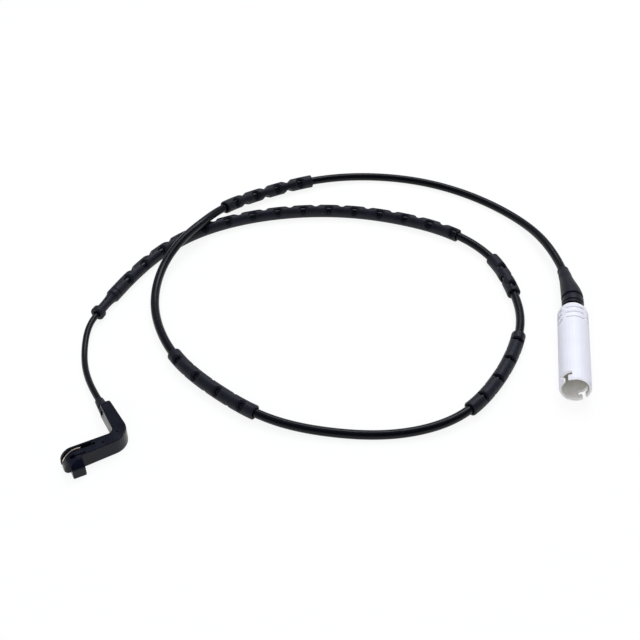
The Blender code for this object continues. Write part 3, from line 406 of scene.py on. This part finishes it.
# Connector shell: smooth white moulding, faintly mottled and slightly blue, and the dark
# insulating carrier of its contacts.
def moulded_material(name, colour, inner_bounce_light, rough):
    """Smooth moulding: a colour with very faint clouds and a slight wander in its gloss. Nearer to
    the barrel's axis than its wall, so on the inside, the tone is a paler, warmer one: painted bounce light."""
    material = bpy.data.materials.new(name)
    material.use_nodes = True
    tree = material.node_tree
    shader = tree.nodes["Principled BSDF"]
    shader.inputs["IOR"].default_value = 1.47
    where = tree.nodes.new("ShaderNodeTexCoord")
    cloud = tree.nodes.new("ShaderNodeTexNoise")
    cloud.inputs["Scale"].default_value = 120
    cloud.inputs["Detail"].default_value = 5
    tree.links.new(where.outputs["Object"], cloud.inputs["Vector"])
    tone = tree.nodes.new("ShaderNodeValToRGB")
    tone.color_ramp.elements[0].position = 0.35
    tone.color_ramp.elements[0].color = (*[0.965 * c for c in colour], 1)
    tone.color_ramp.elements[1].position = 0.65
    tone.color_ramp.elements[1].color = (*colour, 1)
    tree.links.new(cloud.outputs["Fac"], tone.inputs["Fac"])
    from_mouth = tree.nodes.new("ShaderNodeVectorMath")
    from_mouth.operation = "SUBTRACT"
    from_mouth.inputs[1].default_value = (0.2084, -0.07695, 0.0077)
    tree.links.new(where.outputs["Object"], from_mouth.inputs[0])
    off_axis = tree.nodes.new("ShaderNodeVectorMath")
    off_axis.operation = "CROSS_PRODUCT"
    off_axis.inputs[1].default_value = (-0.581, -0.8139, 0.0)
    tree.links.new(from_mouth.outputs["Vector"], off_axis.inputs[0])
    radius = tree.nodes.new("ShaderNodeVectorMath")
    radius.operation = "LENGTH"
    tree.links.new(off_axis.outputs["Vector"], radius.inputs[0])
    outer = tree.nodes.new("ShaderNodeMapRange")
    outer.inputs["From Min"].default_value = 0.0066
    outer.inputs["From Max"].default_value = 0.0073
    tree.links.new(radius.outputs["Value"], outer.inputs["Value"])
    # Inside the barrel the colour turns paler and warmer: painted bounce light.
    side = tree.nodes.new("ShaderNodeMixRGB")
    side.inputs["Color1"].default_value = (*inner_bounce_light, 1)
    tree.links.new(outer.outputs["Result"], side.inputs["Fac"])
    tree.links.new(tone.outputs["Color"], side.inputs["Color2"])
    tree.links.new(side.outputs["Color"], shader.inputs["Base Color"])
    roughness = tree.nodes.new("ShaderNodeMapRange")
    roughness.inputs["To Min"].default_value = rough
    roughness.inputs["To Max"].default_value = rough + 0.15
    tree.links.new(cloud.outputs["Fac"], roughness.inputs["Value"])
    tree.links.new(roughness.outputs["Result"], shader.inputs["Roughness"])
    return material


# The shell's second colour is painted bounce light inside its barrel; the carrier's is its own colour.
white = moulded_material("shell white", (0.78, 0.785, 0.815), (0.86, 0.84, 0.78), 0.38)
nodes["connector_shell"].data.materials.clear()
nodes["connector_shell"].data.materials.append(white)
dark = moulded_material("carrier plastic", (0.10, 0.095, 0.085), (0.10, 0.095, 0.085), 0.45)
nodes["contact_carrier"].data.materials.clear()
nodes["contact_carrier"].data.materials.append(dark)


# Floor and light: a white sheet that turns up all round, a softbox above and behind, a weak one
# at the left, and a surround that is brighter behind, so that only soft shadows are left.
floor_sides = 96
ring = np.arange(floor_sides)
turns = ring * 2 * math.pi / floor_sides
rim = np.stack([np.cos(turns), np.sin(turns), 0 * turns], axis=1)
sheet_points = np.concatenate([2.8 * rim, 3.0 * rim + [0, 0, 0.06], 3.1 * rim + [0, 0, 0.5]])
sheet_faces = [ring.tolist()]
for row in (0, floor_sides):
    low_ring, high_ring = ring + row, ring + row + floor_sides
    sheet_faces += np.stack([low_ring, np.roll(low_ring, -1), np.roll(high_ring, -1), high_ring], 1).tolist()
floor_mesh = bpy.data.meshes.new("floor")
floor_mesh.from_pydata(sheet_points, [], sheet_faces)
floor = bpy.data.objects.new("floor", floor_mesh)
scene.collection.objects.link(floor)
paper = bpy.data.materials.new("floor paper")
paper.use_nodes = True
tree = paper.node_tree
sheet = tree.nodes["Principled BSDF"]
sheet.inputs["Base Color"].default_value = (0.90, 0.90, 0.90, 1)
sheet.inputs["Roughness"].default_value = 0.9
seen = tree.nodes.new("ShaderNodeLightPath")
direct = tree.nodes.new("ShaderNodeMath")
direct.operation = "MAXIMUM"
tree.links.new(seen.outputs["Is Camera Ray"], direct.inputs[0])
tree.links.new(seen.outputs["Is Glossy Ray"], direct.inputs[1])
through = tree.nodes.new("ShaderNodeMath")
through.operation = "MAXIMUM"
tree.links.new(direct.outputs["Value"], through.inputs[0])
tree.links.new(seen.outputs["Is Transmission Ray"], through.inputs[1])
share = tree.nodes.new("ShaderNodeMath")
share.operation = "MULTIPLY"
share.inputs[1].default_value = 0.88
tree.links.new(through.outputs["Value"], share.inputs[0])
plain_white = tree.nodes.new("ShaderNodeEmission")
plain_white.inputs["Color"].default_value = (1, 1, 1, 1)
plain_white.inputs["Strength"].default_value = 1.0
paper_mix = tree.nodes.new("ShaderNodeMixShader")
tree.links.new(share.outputs["Value"], paper_mix.inputs["Fac"])
tree.links.new(sheet.outputs["BSDF"], paper_mix.inputs[1])
tree.links.new(plain_white.outputs["Emission"], paper_mix.inputs[2])
tree.links.new(paper_mix.outputs["Shader"], tree.nodes["Material Output"].inputs["Surface"])
floor_mesh.materials.append(paper)
floor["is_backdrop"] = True

for name, place, wide, high, power, glossy in (
        ("softbox_back", (0.64, 0.53, 1.0), 0.75, 0.45, 5.5, True),
        ("softbox_left", (-1.0, 0.2, 0.6), 0.7, 0.5, 0.4, True),
        ("fill_top", (0.2, 0.2, 1.3), 1.4, 1.4, 13.0, False),
        ("fill_front", (-0.6, -0.9, 0.8), 1.2, 0.8, 7.5, False)):
    lamp = bpy.data.lights.new(name, "AREA")
    lamp.shape = "RECTANGLE"
    lamp.size = wide
    lamp.size_y = high
    lamp.energy = power
    lamp.color = (0.93, 0.94, 1.0)
    obj = bpy.data.objects.new(name, lamp)
    obj.location = place
    obj.rotation_euler = (Vector((0.12, 0.03, 0.0)) - Vector(place)).to_track_quat("-Z", "Y").to_euler()
    obj.visible_glossy = glossy
    scene.collection.objects.link(obj)

world = bpy.data.worlds.new("surround")
scene.world = world
world.use_nodes = True
tree = world.node_tree
tree.nodes.clear()
out = tree.nodes.new("ShaderNodeOutputWorld")
around = tree.nodes.new("ShaderNodeTexCoord")
depth = tree.nodes.new("ShaderNodeVectorMath")
depth.operation = "DOT_PRODUCT"
depth.inputs[1].default_value = (0.457, 0.889, 0.0)
tree.links.new(around.outputs["Generated"], depth.inputs[0])
fall = tree.nodes.new("ShaderNodeMapRange")
fall.inputs["From Min"].default_value = -0.6
fall.inputs["From Max"].default_value = 0.6
fall.inputs["To Min"].default_value = 0.04
fall.inputs["To Max"].default_value = 0.44
tree.links.new(depth.outputs["Value"], fall.inputs["Value"])
soft = tree.nodes.new("ShaderNodeBackground")
soft.inputs["Color"].default_value = (0.80, 0.83, 1.0, 1)
tree.links.new(fall.outputs["Result"], soft.inputs["Strength"])
tree.links.new(soft.outputs["Background"], out.inputs["Surface"])

scene.view_settings.view_transform = "Standard"

low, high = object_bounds()
